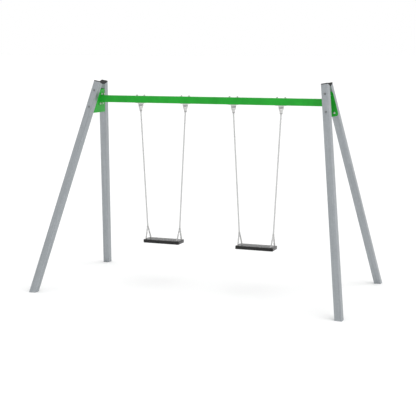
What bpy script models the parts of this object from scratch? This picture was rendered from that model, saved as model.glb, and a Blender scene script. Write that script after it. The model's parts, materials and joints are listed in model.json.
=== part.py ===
"""Playground swing set: two splayed A-frames, a bolted crossbeam and two flat seats on chains.

Units are metres. +Z is up, the crossbeam runs along X and a person swings along Y, with the
front towards -Y. The origin is on the ground, midway between the four feet. Left is -X.
"""
from math import asin, atan2, cos, pi, radians, sin, sqrt, tan

import bmesh
import bpy
from mathutils import Matrix, Vector

NAME = "swing_set"

# ---- driving dimensions -------------------------------------------------------------------
GAP = 0.0003                  # clearance between touching pieces
LAP = 0.001                   # depth that joined solids share
OVERSHOOT = 0.010             # how far a hole's tool passes a face
ROUND_END = 0.999             # share of the half width that a fully rounded end takes

TUBE = 0.080                  # square tube of the legs and the crossbeam
TUBE_WALL = 0.003
TUBE_CORNER = 0.005           # outer corner radius of the square tube
LEAN = radians(10.0)          # each A-frame leans inwards, over the crossbeam
SPLAY = radians(20.0)         # each leg's angle from its A-frame's centreline
FOOT_X = 1.810                # leg axis at the ground
FOOT_Y = 0.950
LEG_LENGTH = 2.592            # along the axis, ground to the top of the cap
FOOT_PLATE = 0.005            # plate welded across each foot
CAP_RIM = 0.011
CAP_EASE = 0.001
CAP_SKIRT = 0.025
CAP_WALL = 0.0025

BRACKET_BOTTOM = 2.070        # heights along the A-frame's own centreline
BRACKET_TOP = 2.350
BRACKET_PLATE = 0.006
BRACKET_CORNER = 0.028        # rounded outer corners of the two flanges
LEG_BOLTS = (2.263, 2.470)    # along the leg axis from the ground

BEAM_Z = 2.196                # centre height of the crossbeam
END_PLATE = (0.008, 0.100, 0.150)
END_BOLT_Y = 0.030
END_BOLT_Z = 0.057
VENT_RADIUS = 0.012

BOLT = 0.012                  # M12 bolts hold the frame and the hangers
BOLT_HEAD = 0.0075
BOLT_NUT = 0.0100
BOLT_HEX = 0.018              # across the flats
BOLT_TAIL = 0.003             # thread that stands out of the nut
WASHER_THICK = 0.0025         # room left for a washer under each head and nut
CUP_RADIUS = 0.0105           # low round heads of the hanger bolts
CUP_HEIGHT = 0.0035
PIN_HEAD = 0.004              # the hanger pin's thin head and nut
PIN_NUT = 0.005
PIN_TAIL = 0.001

SWING_X = 0.581               # centre of each swing
HANGER_HALF = 0.284           # hanger to swing centre
HANGER_BOLT = 0.0475          # through bolt to hanger centre
HANGER_PLATE = (0.124, 0.050, 0.003)
HANGER_SPACER = (0.057, 0.040, 0.014)
HOUSING_LENGTH = 0.037
HOUSING_RADIUS = 0.0115
PIN_Z = 2.127                 # axis that both hangers of a swing turn on

CHEEK_TOP_X = 0.025           # outer face of a stirrup cheek at the pin
CHEEK_LOW_X = 0.013           # and at the chain rivet
CHEEK_THICK = 0.006
CHEEK_TOP_Y = 0.011           # half the cheek's width at the pin
CHEEK_LOW_Y = 0.010           # and at the rivet
CHEEK_CROWN = 0.0107          # top of the cheek above the pin
CHEEK_ROUND = 0.9             # corner radius at each end, as a share of the half width
CHEEK_WEB = 0.006             # thickness of the web between the cheeks
WEB_BELOW_PIN = 0.0145
WEB_ABOVE_RIVET = 0.014
CHEEK_BEND_TOP = 2.110
CHEEK_BEND_LOW = 2.073
RIVET_Z = 2.066
RIVET_RADIUS = 0.004
RIVET_PROUD = 0.0005          # stands out of each cheek

CHAIN_WIDTH = 0.020           # over the links
CHAIN_WALL = 0.00175          # gives the envelope tube the chain's 0.8 kg per metre
APEX_HALF = 0.208             # the chains run closer together towards the seat
APEX_Z = 0.695                # where each chain divides in two
APEX_RADIUS = 0.014
APEX_STEPS = 6
RIVET_TO_CHAIN = 0.017        # rivet's centre to the end of the chain's envelope
LUG_TO_CHAIN = 0.018          # and from a lug's eye to the short chains' envelope

SEAT_SIZE = (0.455, 0.180, 0.040)
SEAT_Z = 0.518                # mid-thickness
SEAT_CORNER = 0.012
SEAT_EDGE = 0.006
INSERT_SIZE = (0.420, 0.150, 0.005)
LUG_X = 0.200
LUG_Y = 0.066
LUG_RISE = 0.010              # eye centre above the seat's top
LUG_THICK = 0.005
LUG_RADIUS = 0.010
LUG_EYE = 0.0045

HOLE_SIDES = 12
SHANK_SIDES = 10

# ---- values that follow ---------------------------------------------------------------------
HALF = TUBE / 2
BEAM_UNDER = BEAM_Z - HALF
PLATE_TOP = BEAM_UNDER - GAP
SPACER_TOP = PLATE_TOP - HANGER_PLATE[2]
SPACER_UNDER = SPACER_TOP - HANGER_SPACER[2]
SEAT_TOP = SEAT_Z + SEAT_SIZE[2] / 2
LUG_Z = SEAT_TOP + LUG_RISE
CHAIN_TOP = RIVET_Z - RIVET_TO_CHAIN
CHAIN_FOOT = APEX_Z + APEX_RADIUS + CHAIN_WIDTH / 2 + 2 * GAP
YOKE_FOOT = LUG_Z + LUG_TO_CHAIN
BEAM_ON_FRAME = (BEAM_Z + HALF * sin(LEAN)) / cos(LEAN)    # beam's centre up the A-frame


# ---- scene, collections and materials --------------------------------------------------------
def clear_scene():
    for obj in list(bpy.data.objects):
        bpy.data.objects.remove(obj, do_unlink=True)


def collection(name):
    group = bpy.data.collections.new(name)
    bpy.context.scene.collection.children.link(group)
    return group


def material(name, colour, roughness, metallic):
    mat = bpy.data.materials.new(name)
    mat.use_nodes = True
    shader = mat.node_tree.nodes["Principled BSDF"]
    shader.inputs["Base Color"].default_value = (*colour, 1.0)
    shader.inputs["Roughness"].default_value = roughness
    shader.inputs["Metallic"].default_value = metallic
    return mat


# ---- mesh helpers -------------------------------------------------------------------------------
def mesh_from(name, bm):
    bmesh.ops.recalc_face_normals(bm, faces=bm.faces)
    mesh = bpy.data.meshes.new(name)
    bm.to_mesh(mesh)
    bm.free()
    return mesh


def add_box(bm, size, centre=(0, 0, 0), matrix=Matrix.Identity(4)):
    placed = matrix @ Matrix.Translation(centre) @ Matrix.Diagonal((*size, 1.0))
    bmesh.ops.create_cube(bm, size=1.0, matrix=placed)


def add_rod(bm, radius, start, end, sides=HOLE_SIDES):
    """A closed cylinder, or a prism with few sides, between two points."""
    start, end = Vector(start), Vector(end)
    axis = end - start
    turn = axis.to_track_quat("Z", "Y").to_matrix().to_4x4()
    placed = Matrix.Translation((start + end) / 2) @ turn
    bmesh.ops.create_cone(bm, cap_ends=True, segments=sides, radius1=radius, radius2=radius,
                          depth=axis.length, matrix=placed)


def square_bar(side, length, corner, segments=3):
    """A square bar along +Z from the origin, with its four long edges rounded."""
    bm = bmesh.new()
    add_box(bm, (side, side, length), (0, 0, length / 2))
    if corner:
        long_edges = [e for e in bm.edges if abs(e.verts[0].co.z - e.verts[1].co.z) > length / 2]
        bmesh.ops.bevel(bm, geom=long_edges, offset=corner, segments=segments, profile=0.5,
                        affect="EDGES")
    return bm


def cut_end(bm, point, outward):
    """Cut a solid flat at a plane and close the cut."""
    geom = bm.verts[:] + bm.edges[:] + bm.faces[:]
    bmesh.ops.bisect_plane(bm, geom=geom, plane_co=point, plane_no=outward, clear_outer=True)
    rim = [e for e in bm.edges if e.is_boundary]
    bmesh.ops.contextual_create(bm, geom=rim)


def fillet(corners, segments=5):
    """Outline points of a polygon of (x, y, radius) corners, each rounded by its radius."""
    points = []
    count = len(corners)
    for i, (x, y, radius) in enumerate(corners):
        here = Vector((x, y))
        if radius == 0:
            points.append(here)
            continue
        to_last = (Vector(corners[i - 1][:2]) - here).normalized()
        to_next = (Vector(corners[(i + 1) % count][:2]) - here).normalized()
        half_angle = to_last.angle(to_next) / 2
        centre = here + (to_last + to_next).normalized() * radius / sin(half_angle)
        first = here + to_last * radius / tan(half_angle) - centre
        last = here + to_next * radius / tan(half_angle) - centre
        begin = atan2(first.y, first.x)
        sweep = (atan2(last.y, last.x) - begin + pi) % (2 * pi) - pi
        for step in range(segments + 1):
            angle = begin + sweep * step / segments
            points.append(centre + radius * Vector((cos(angle), sin(angle))))
    return points


def plate_mesh(name, outline, low, high, axis):
    """A flat outline extruded from low to high along an axis, X, Y or Z.

    The outline's own x and y become (Y, Z) for axis X, (X, Z) for axis Y and (X, Y) for axis Z.
    """
    curve = bpy.data.curves.new(name, "CURVE")
    curve.dimensions = "2D"
    curve.fill_mode = "BOTH"
    curve.extrude = (high - low) / 2
    spline = curve.splines.new("POLY")
    spline.points.add(len(outline) - 1)
    for point, (x, y) in zip(spline.points, outline):
        point.co = (x, y, 0, 1)
    spline.use_cyclic_u = True
    holder = bpy.data.objects.new(name, curve)
    bpy.context.scene.collection.objects.link(holder)
    bpy.context.view_layer.update()
    graph = bpy.context.evaluated_depsgraph_get()
    mesh = bpy.data.meshes.new_from_object(holder.evaluated_get(graph))
    bpy.data.objects.remove(holder, do_unlink=True)
    columns = {
        "X": (Vector((0, 1, 0)), Vector((0, 0, 1))),
        "Y": (Vector((1, 0, 0)), Vector((0, 0, 1))),
        "Z": (Vector((1, 0, 0)), Vector((0, 1, 0))),
    }
    across, along = columns[axis]
    normal = across.cross(along)
    middle = normal * (low + high) / 2
    if axis == "Y":
        middle = -middle
    turn = Matrix((across, along, normal)).transposed().to_4x4()
    mesh.transform(Matrix.Translation(middle) @ turn)
    bm = bmesh.new()
    bm.from_mesh(mesh)
    bmesh.ops.remove_doubles(bm, verts=bm.verts, dist=0.00001)
    bpy.data.meshes.remove(mesh)
    return mesh_from(name, bm)


# ---- objects ------------------------------------------------------------------------------------
def finish_faces(mesh):
    mesh.shade_smooth()
    mesh.set_sharp_from_angle(angle=radians(35))


def add_part(name, mesh, mat, parent=None, matrix=Matrix.Identity(4)):
    finish_faces(mesh)
    obj = bpy.data.objects.new(name, mesh)
    obj.data.materials.clear()
    obj.data.materials.append(mat)
    parts.objects.link(obj)
    obj.parent = parent
    obj.matrix_basis = matrix
    return obj


def add_cutter(name, mesh, parent=None, matrix=Matrix.Identity(4)):
    obj = bpy.data.objects.new(name, mesh)
    cutters.objects.link(obj)
    obj.parent = parent
    obj.matrix_basis = matrix
    obj.hide_render = True
    obj.display_type = "WIRE"
    return obj


def combine(obj, tool, operation):
    modifier = obj.modifiers.new(tool.name, "BOOLEAN")
    modifier.operation = operation
    modifier.solver = "EXACT"
    modifier.object = tool


def baked(obj):
    """The evaluated mesh of an object, which is removed with its tools."""
    bpy.context.view_layer.update()
    graph = bpy.context.evaluated_depsgraph_get()
    mesh = bpy.data.meshes.new_from_object(obj.evaluated_get(graph))
    tools = [modifier.object for modifier in obj.modifiers]
    for item in [obj, *tools]:
        bpy.data.objects.remove(item, do_unlink=True)
    return mesh


def add_pivot(name, matrix, parent=None):
    pivot = bpy.data.objects.new(name, None)
    pivot.empty_display_size = 0.1
    parts.objects.link(pivot)
    pivot.parent = parent
    pivot.matrix_basis = matrix
    return pivot


# ---- bolts --------------------------------------------------------------------------------------
def bolt_mesh(name, grip, head=BOLT_HEAD, nut=BOLT_NUT, tail=BOLT_TAIL, washer=WASHER_THICK):
    """A bolt and its hexagon nut, along +Z; the gripped stack spans 0 to grip.

    A head of None is a low round one, seated without a washer.
    """
    hex_radius = BOLT_HEX / sqrt(3)
    nut_seat = grip + GAP + washer
    heads = bmesh.new()
    if head is None:
        head_seat, head_low = -GAP, -GAP - CUP_HEIGHT
        add_rod(heads, CUP_RADIUS, (0, 0, head_low), (0, 0, head_seat))
    else:
        head_seat = -GAP - washer
        head_low = head_seat - head
        add_rod(heads, hex_radius, (0, 0, head_low), (0, 0, head_seat), 6)
    add_rod(heads, hex_radius, (0, 0, nut_seat), (0, 0, nut_seat + nut), 6)
    shank = bmesh.new()
    start = (0, 0, (head_seat + head_low) / 2)
    add_rod(shank, BOLT / 2, start, (0, 0, nut_seat + nut + tail), SHANK_SIDES)
    body = add_cutter(name, mesh_from(name, shank))
    combine(body, add_cutter(name + "_heads", mesh_from(name + "_heads", heads)), "UNION")
    return baked(body)


def clearance_hole(bm, start, end):
    add_rod(bm, BOLT / 2 + GAP, start, end)


# ---- A-frames -----------------------------------------------------------------------------------
def leg_matrix(sign):
    return Matrix.Translation((0, sign * FOOT_Y, 0)) @ Matrix.Rotation(sign * SPLAY, 4, "X")


def half_gap(height):
    """Half the clear width between the legs' facing sides at a height on the A-frame."""
    return FOOT_Y - height * tan(SPLAY) - HALF / cos(SPLAY)


def make_leg(name, sign, frame):
    matrix = leg_matrix(sign)
    down = (frame.matrix_world @ matrix).to_3x3().inverted() @ Vector((0, 0, -1))
    below = TUBE
    outer = square_bar(TUBE, LEG_LENGTH - CAP_RIM - GAP + below, TUBE_CORNER)
    bmesh.ops.translate(outer, verts=outer.verts, vec=(0, 0, -below))
    cut_end(outer, (0, 0, 0), down)
    leg = add_part(name, mesh_from(name, outer), galvanised, frame, matrix)
    bore = square_bar(TUBE - 2 * TUBE_WALL, LEG_LENGTH + below, TUBE_CORNER - TUBE_WALL, 2)
    bmesh.ops.translate(bore, verts=bore.verts, vec=(0, 0, -below))
    cut_end(bore, -down * FOOT_PLATE, down)
    combine(leg, add_cutter(name + "_bore", mesh_from(name + "_bore", bore), frame, matrix), "DIFFERENCE")
    holes = bmesh.new()
    for height in LEG_BOLTS:
        clearance_hole(holes, (0, -TUBE, height), (0, TUBE, height))
    tool = add_cutter(name + "_holes", mesh_from(name + "_holes", holes), frame, matrix)
    combine(leg, tool, "DIFFERENCE")


def make_cap(name, sign, frame):
    """A push-in cap: a rim as wide as the tube, and a skirt that fits its bore."""
    matrix = leg_matrix(sign) @ Matrix.Translation((0, 0, LEG_LENGTH - CAP_RIM))
    rim = square_bar(TUBE, CAP_RIM, TUBE_CORNER)
    top_edges = [e for e in rim.edges if min(v.co.z for v in e.verts) > CAP_RIM / 2]
    bmesh.ops.bevel(rim, geom=top_edges, offset=CAP_EASE, segments=2, profile=0.5, affect="EDGES")
    cap = add_part(name, mesh_from(name, rim), cap_plastic, frame, matrix)
    fit = TUBE - 2 * TUBE_WALL - 2 * GAP
    lap = CAP_RIM / 2
    skirt = square_bar(fit, CAP_SKIRT + lap, TUBE_CORNER - TUBE_WALL, 2)
    bmesh.ops.translate(skirt, verts=skirt.verts, vec=(0, 0, -CAP_SKIRT))
    combine(cap, add_cutter(name + "_skirt", mesh_from(name + "_skirt", skirt), frame, matrix), "UNION")
    hollow = square_bar(fit - 2 * CAP_WALL, 2 * CAP_SKIRT, 0)
    bmesh.ops.translate(hollow, verts=hollow.verts, vec=(0, 0, -2 * CAP_SKIRT))
    tool = add_cutter(name + "_hollow", mesh_from(name + "_hollow", hollow), frame, matrix)
    combine(cap, tool, "DIFFERENCE")


def make_bracket(name, frame):
    """A web across the A-frame's inner side, with a flange along each leg's facing side."""
    low, high = BRACKET_BOTTOM, BRACKET_TOP
    wide, narrow = half_gap(low) - GAP, half_gap(high) - GAP
    outline = [(-wide, low), (wide, low), (narrow, high), (-narrow, high)]
    bracket = add_part(name, plate_mesh(name, outline, -HALF, HALF, "X"), green_paint, frame)

    # the pocket leaves the web and the two flanges, and runs out past both ends
    past = HALF
    inset = BRACKET_PLATE / cos(SPLAY)
    low_in = half_gap(low - past) - GAP - inset
    high_in = half_gap(high + past) - GAP - inset
    pocket = [(-low_in, low - past), (low_in, low - past), (high_in, high + past), (-high_in, high + past)]
    pocket_mesh = plate_mesh(name + "_pocket", pocket, -HALF + BRACKET_PLATE, TUBE, "X")
    combine(bracket, add_cutter(name + "_pocket", pocket_mesh, frame), "DIFFERENCE")

    # seen from the side, the flanges' outer corners are round
    side = fillet([(-TUBE, low, 0), (HALF, low, BRACKET_CORNER),
                   (HALF, high, BRACKET_CORNER), (-TUBE, high, 0)])
    side_mesh = plate_mesh(name + "_side", side, -FOOT_Y, FOOT_Y, "Y")
    combine(bracket, add_cutter(name + "_side", side_mesh, frame), "INTERSECT")

    holes = bmesh.new()
    for y in (-END_BOLT_Y, END_BOLT_Y):
        for z in (-END_BOLT_Z, END_BOLT_Z):
            clearance_hole(holes, (-TUBE, y, BEAM_ON_FRAME + z), (0, y, BEAM_ON_FRAME + z))
    for sign in (-1, 1):
        matrix = leg_matrix(sign)
        for height in LEG_BOLTS:
            face = -sign * HALF
            clearance_hole(holes, matrix @ Vector((0, face + sign * OVERSHOOT, height)),
                           matrix @ Vector((0, face - sign * OVERSHOOT, height)))
    combine(bracket, add_cutter(name + "_holes", mesh_from(name + "_holes", holes), frame), "DIFFERENCE")


def make_a_frame(side, matrix):
    frame = add_pivot("a_frame_" + side, matrix)
    bpy.context.view_layer.update()
    for sign in (-1, 1):
        world_y = (matrix.to_3x3() @ Vector((0, sign, 0))).y
        place = ("rear_" if world_y > 0 else "front_") + side
        make_leg("leg_" + place, sign, frame)
        make_cap("leg_cap_" + place, sign, frame)
        for level, height in zip(("lower", "upper"), LEG_BOLTS):
            outside = leg_matrix(sign) @ Matrix.Translation((0, sign * HALF, height))
            turn = Matrix.Rotation(sign * pi / 2, 4, "X")
            add_part(f"leg_bolt_{place}_{level}", leg_bolt, zinc_steel, frame, outside @ turn)
    make_bracket("bracket_" + side, frame)
    for y_name, y in (("a", -END_BOLT_Y), ("b", END_BOLT_Y)):
        for z_name, z in (("lower", -END_BOLT_Z), ("upper", END_BOLT_Z)):
            start = Matrix.Translation((-HALF - GAP - END_PLATE[0], y, BEAM_ON_FRAME + z))
            turn = Matrix.Rotation(pi / 2, 4, "Y")
            add_part(f"beam_bolt_{side}_{z_name}_{y_name}", beam_bolt, zinc_steel, frame, start @ turn)
    return frame


# ---- crossbeam ----------------------------------------------------------------------------------
def beam_run(side, corner, end_inset):
    """A bar along X between the two leaning end planes, end_inset short of the webs."""
    bm = square_bar(side, 2 * FOOT_X, corner)
    bmesh.ops.translate(bm, verts=bm.verts, vec=(0, 0, -FOOT_X))
    bmesh.ops.rotate(bm, verts=bm.verts, matrix=Matrix.Rotation(pi / 2, 3, "Y"))
    bmesh.ops.translate(bm, verts=bm.verts, vec=(0, 0, BEAM_Z))
    for frame in frames:
        outward = frame.matrix_world.to_3x3() @ Vector((1, 0, 0))
        point = frame.matrix_world @ Vector((-HALF - GAP - end_inset, 0, BEAM_ON_FRAME))
        cut_end(bm, point, outward)
    return bm


def make_beam():
    thick = END_PLATE[0]
    run = beam_run(TUBE, TUBE_CORNER, thick / 2)
    beam = add_part("crossbeam", mesh_from("crossbeam", run), green_paint)
    plates = bmesh.new()
    plate_holes = bmesh.new()
    for frame in frames:
        place = frame.matrix_world @ Matrix.Translation((-HALF - GAP, 0, BEAM_ON_FRAME))
        add_box(plates, END_PLATE, (-thick / 2, 0, 0), place)
        for y in (-END_BOLT_Y, END_BOLT_Y):
            for z in (-END_BOLT_Z, END_BOLT_Z):
                clearance_hole(plate_holes, place @ Vector((OVERSHOOT, y, z)),
                               place @ Vector((-2 * OVERSHOOT, y, z)))
        add_rod(plate_holes, VENT_RADIUS, place @ Vector((OVERSHOOT, 0, 0)),
                place @ Vector((-2 * OVERSHOOT, 0, 0)))
    combine(beam, add_cutter("beam_plates", mesh_from("beam_plates", plates)), "UNION")
    bore = beam_run(TUBE - 2 * TUBE_WALL, TUBE_CORNER - TUBE_WALL, thick)
    combine(beam, add_cutter("beam_bore", mesh_from("beam_bore", bore)), "DIFFERENCE")
    combine(beam, add_cutter("beam_plate_holes", mesh_from("beam_plate_holes", plate_holes)), "DIFFERENCE")
    holes = bmesh.new()
    for x in hanger_places():
        for offset in (-HANGER_BOLT, HANGER_BOLT):
            clearance_hole(holes, (x + offset, 0, BEAM_Z - TUBE), (x + offset, 0, BEAM_Z + TUBE))
    combine(beam, add_cutter("beam_holes", mesh_from("beam_holes", holes)), "DIFFERENCE")


# ---- hangers ------------------------------------------------------------------------------------
def hanger_places():
    return [swing + end for swing in (-SWING_X, SWING_X) for end in (-HANGER_HALF, HANGER_HALF)]


def make_hanger_mount(name, x):
    """A base plate under the beam with a welded spacer and the pin's housing."""
    middle = Matrix.Translation((x, 0, 0))
    base = bmesh.new()
    add_box(base, HANGER_PLATE, (0, 0, PLATE_TOP - HANGER_PLATE[2] / 2))
    mount = add_part(name, mesh_from(name, base), zinc_steel, matrix=middle)
    spacer = bmesh.new()
    depth = HANGER_SPACER[2] + LAP
    add_box(spacer, (HANGER_SPACER[0], HANGER_SPACER[1], depth), (0, 0, SPACER_UNDER + depth / 2))
    tool = add_cutter(name + "_spacer", mesh_from(name + "_spacer", spacer), matrix=middle)
    combine(mount, tool, "UNION")
    r = HOUSING_RADIUS
    outline = fillet([(-r, SPACER_UNDER + LAP, 0), (-r, PIN_Z - r, r * ROUND_END),
                      (r, PIN_Z - r, r * ROUND_END), (r, SPACER_UNDER + LAP, 0)])
    housing = plate_mesh(name + "_housing", outline, -HOUSING_LENGTH / 2, HOUSING_LENGTH / 2, "X")
    combine(mount, add_cutter(name + "_housing", housing, matrix=middle), "UNION")
    holes = bmesh.new()
    clearance_hole(holes, (-HOUSING_LENGTH, 0, PIN_Z), (HOUSING_LENGTH, 0, PIN_Z))
    for offset in (-HANGER_BOLT, HANGER_BOLT):
        clearance_hole(holes, (offset, 0, PLATE_TOP + OVERSHOOT), (offset, 0, SPACER_TOP - OVERSHOOT))
    tool = add_cutter(name + "_holes", mesh_from(name + "_holes", holes), matrix=middle)
    combine(mount, tool, "DIFFERENCE")


def make_stirrup(name, x, pivot):
    """Two cheeks joined by a web hang on the pin and close in on the rivet that carries the chain."""
    middle = pivot.matrix_world.inverted() @ Matrix.Translation((x, 0, 0))
    top, low = PIN_Z + CHEEK_CROWN, RIVET_Z - CHEEK_LOW_Y
    wide, slim, thick = CHEEK_TOP_X, CHEEK_LOW_X, CHEEK_THICK
    cheek = [(wide, top), (wide, CHEEK_BEND_TOP), (slim, CHEEK_BEND_LOW), (slim, low),
             (slim - thick, low), (slim - thick, CHEEK_BEND_LOW), (wide - thick, CHEEK_BEND_TOP),
             (wide - thick, top)]
    other = [(-x_side, z) for x_side, z in cheek]
    right = plate_mesh(name, cheek, -CHEEK_TOP_Y, CHEEK_TOP_Y, "Y")
    stirrup = add_part(name, right, zinc_steel, pivot, middle)
    rivet = bmesh.new()
    reach = slim + RIVET_PROUD
    add_rod(rivet, RIVET_RADIUS, (-reach, 0, RIVET_Z), (reach, 0, RIVET_Z))
    rivet_mesh = mesh_from(name + "_rivet", rivet)
    combine(stirrup, add_cutter(name + "_rivet", rivet_mesh, pivot, middle), "UNION")
    left = plate_mesh(name + "_cheek", other, -CHEEK_TOP_Y, CHEEK_TOP_Y, "Y")
    combine(stirrup, add_cutter(name + "_cheek", left, pivot, middle), "UNION")

    web_top, web_low = PIN_Z - WEB_BELOW_PIN, RIVET_Z + WEB_ABOVE_RIVET
    narrowing = (wide - slim) / (CHEEK_BEND_TOP - CHEEK_BEND_LOW)
    low_x = slim - thick / 2 + (web_low - CHEEK_BEND_LOW) * narrowing
    top_x = wide - thick / 2
    web = [(-low_x, web_low), (low_x, web_low), (top_x, CHEEK_BEND_TOP),
           (top_x, web_top), (-top_x, web_top), (-top_x, CHEEK_BEND_TOP)]
    web_mesh = plate_mesh(name + "_web", web, -CHEEK_WEB / 2, CHEEK_WEB / 2, "Y")
    combine(stirrup, add_cutter(name + "_web", web_mesh, pivot, middle), "UNION")

    # seen from the side, each cheek has round ends
    round_low, round_top = CHEEK_LOW_Y * CHEEK_ROUND, CHEEK_TOP_Y * CHEEK_ROUND
    ends = fillet([(-CHEEK_LOW_Y, low, round_low), (CHEEK_LOW_Y, low, round_low),
                   (CHEEK_TOP_Y, top, round_top), (-CHEEK_TOP_Y, top, round_top)])
    ends_mesh = plate_mesh(name + "_ends", ends, -2 * wide, 2 * wide, "X")
    combine(stirrup, add_cutter(name + "_ends", ends_mesh, pivot, middle), "INTERSECT")
    hole = bmesh.new()
    clearance_hole(hole, (-2 * wide, 0, PIN_Z), (2 * wide, 0, PIN_Z))
    tool = add_cutter(name + "_hole", mesh_from(name + "_hole", hole), pivot, middle)
    combine(stirrup, tool, "DIFFERENCE")


# ---- chains -------------------------------------------------------------------------------------
def chain_x(end, height):
    """Distance of a chain's axis from its swing's centre, at a height; end is -1 or 1."""
    share = (height - APEX_Z) / (RIVET_Z - APEX_Z)
    return end * (APEX_HALF + share * (HANGER_HALF - APEX_HALF))


def envelope_tube(name, points, parent):
    """An open-ended tube over the links of a taut chain, through points in world space."""
    curve = bpy.data.curves.new(name, "CURVE")
    curve.dimensions = "3D"
    curve.bevel_depth = CHAIN_WIDTH / 2
    curve.bevel_resolution = 1
    spline = curve.splines.new("POLY")
    spline.points.add(len(points) - 1)
    to_local = parent.matrix_world.inverted()
    for point, place in zip(spline.points, points):
        point.co = (*(to_local @ Vector(place)), 1)
    holder = bpy.data.objects.new(name, curve)
    bpy.context.scene.collection.objects.link(holder)
    bpy.context.view_layer.update()
    graph = bpy.context.evaluated_depsgraph_get()
    mesh = bpy.data.meshes.new_from_object(holder.evaluated_get(graph))
    bpy.data.objects.remove(holder, do_unlink=True)
    tube = add_part(name, mesh, chain_steel, parent)
    wall = tube.modifiers.new("wall", "SOLIDIFY")
    wall.thickness = CHAIN_WALL
    wall.offset = -1
    wall.use_even_offset = True
    return tube


def yoke_points(centre, end):
    """Up from the front lug, round the apex and down to the rear lug."""
    rise = LUG_Z - APEX_Z
    reach = sqrt(LUG_Y ** 2 + rise ** 2)
    tilt = atan2(LUG_Y, -rise) - asin(APEX_RADIUS / reach)
    arc = []
    for step in range(APEX_STEPS + 1):
        angle = (pi / 2 - tilt) * (2 * step / APEX_STEPS - 1)
        arc.append((APEX_RADIUS * sin(angle), APEX_Z + APEX_RADIUS * cos(angle)))
    foot_y = arc[-1][0] + (arc[-1][1] - YOKE_FOOT) * tan(tilt)
    line = [(-foot_y, YOKE_FOOT), *arc, (foot_y, YOKE_FOOT)]
    slant = (APEX_HALF - LUG_X) / (APEX_Z - LUG_Z)
    return [(centre + end * (LUG_X + slant * (z - LUG_Z)), y, z) for y, z in line]


# ---- seats --------------------------------------------------------------------------------------
def lug_outline(grow):
    """A lug seen along X: straight from the insert plate, round over the eye."""
    r = LUG_RADIUS + grow
    return fillet([(LUG_Y - r, SEAT_Z, 0), (LUG_Y + r, SEAT_Z, 0),
                   (LUG_Y + r, LUG_Z + r, r * ROUND_END), (LUG_Y - r, LUG_Z + r, r * ROUND_END)])


def lug_tools(name, pivot, middle, grow):
    """The four lugs of a seat, as tools in seat coordinates."""
    tools = []
    half = LUG_THICK / 2 + grow
    for y_sign in (-1, 1):
        outline = [(y_sign * y, z) for y, z in lug_outline(grow)]
        for x_sign in (-1, 1):
            centre = x_sign * LUG_X
            mesh = plate_mesh(name, outline, centre - half, centre + half, "X")
            tools.append(add_cutter(name, mesh, pivot, middle))
    return tools


def make_seat(side, centre, pivot):
    middle = pivot.matrix_world.inverted() @ Matrix.Translation((centre, 0, 0))
    length, width, height = SEAT_SIZE

    # rubber body, moulded round the steel insert; the lugs come out through its top
    slab = bmesh.new()
    add_box(slab, SEAT_SIZE, (0, 0, SEAT_Z))
    upright = [e for e in slab.edges if abs(e.verts[0].co.z - e.verts[1].co.z) > height / 2]
    bmesh.ops.bevel(slab, geom=upright, offset=SEAT_CORNER, segments=3, profile=0.5, affect="EDGES")
    rims = [e for e in slab.edges if abs(e.verts[0].co.z - e.verts[1].co.z) < height / 2]
    bmesh.ops.bevel(slab, geom=rims, offset=SEAT_EDGE, segments=3, profile=0.5, affect="EDGES")
    name = "seat_rubber_" + side
    rubber = add_part(name, mesh_from(name, slab), seat_rubber, pivot, middle)
    pocket = bmesh.new()
    room = [size + 2 * GAP for size in INSERT_SIZE]
    add_box(pocket, room, (0, 0, SEAT_Z))
    pocket_tool = add_cutter(name + "_pocket", mesh_from(name + "_pocket", pocket), pivot, middle)
    combine(rubber, pocket_tool, "DIFFERENCE")
    for tool in lug_tools(name + "_slot", pivot, middle, GAP):
        combine(rubber, tool, "DIFFERENCE")

    # steel insert plate with its four lugs
    plate = bmesh.new()
    add_box(plate, INSERT_SIZE, (0, 0, SEAT_Z))
    name = "seat_insert_" + side
    insert = add_part(name, mesh_from(name, plate), zinc_steel, pivot, middle)
    for tool in lug_tools(name + "_lug", pivot, middle, 0):
        combine(insert, tool, "UNION")
    eyes = bmesh.new()
    for y in (-LUG_Y, LUG_Y):
        for x in (-LUG_X, LUG_X):
            add_rod(eyes, LUG_EYE, (x - OVERSHOOT, y, LUG_Z), (x + OVERSHOOT, y, LUG_Z))
    tool = add_cutter(name + "_eyes", mesh_from(name + "_eyes", eyes), pivot, middle)
    combine(insert, tool, "DIFFERENCE")


def make_swing(side, centre):
    swing = add_pivot("swing_" + side, Matrix.Translation((centre, 0, PIN_Z)))
    seat = add_pivot("seat_" + side, Matrix.Translation((0, 0, APEX_Z - PIN_Z)), swing)
    bpy.context.view_layer.update()
    for place, end in (("left", -1), ("right", 1)):
        x = centre + end * HANGER_HALF
        label = f"{side}_{place}"
        make_hanger_mount("hanger_mount_" + label, x)
        make_stirrup("stirrup_" + label, x, swing)
        start = swing.matrix_world.inverted() @ Matrix.Translation((x - CHEEK_TOP_X, 0, PIN_Z))
        along_beam = Matrix.Rotation(pi / 2, 4, "Y")
        add_part("hanger_pin_" + label, pin_bolt, zinc_steel, swing, start @ along_beam)
        for bolt_place, offset in (("a", -HANGER_BOLT), ("b", HANGER_BOLT)):
            add_part(f"hanger_bolt_{label}_{bolt_place}", hanger_bolt, zinc_steel,
                     matrix=Matrix.Translation((x + offset, 0, SPACER_TOP)))
        run = [(centre + chain_x(end, z), 0, z) for z in (CHAIN_TOP, CHAIN_FOOT)]
        envelope_tube("chain_" + label, run, swing)
        envelope_tube("seat_chain_" + label, yoke_points(centre, end), seat)
    make_seat(side, centre, seat)


clear_scene()
parts = collection(NAME)
cutters = collection(NAME + "_cutters")

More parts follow.
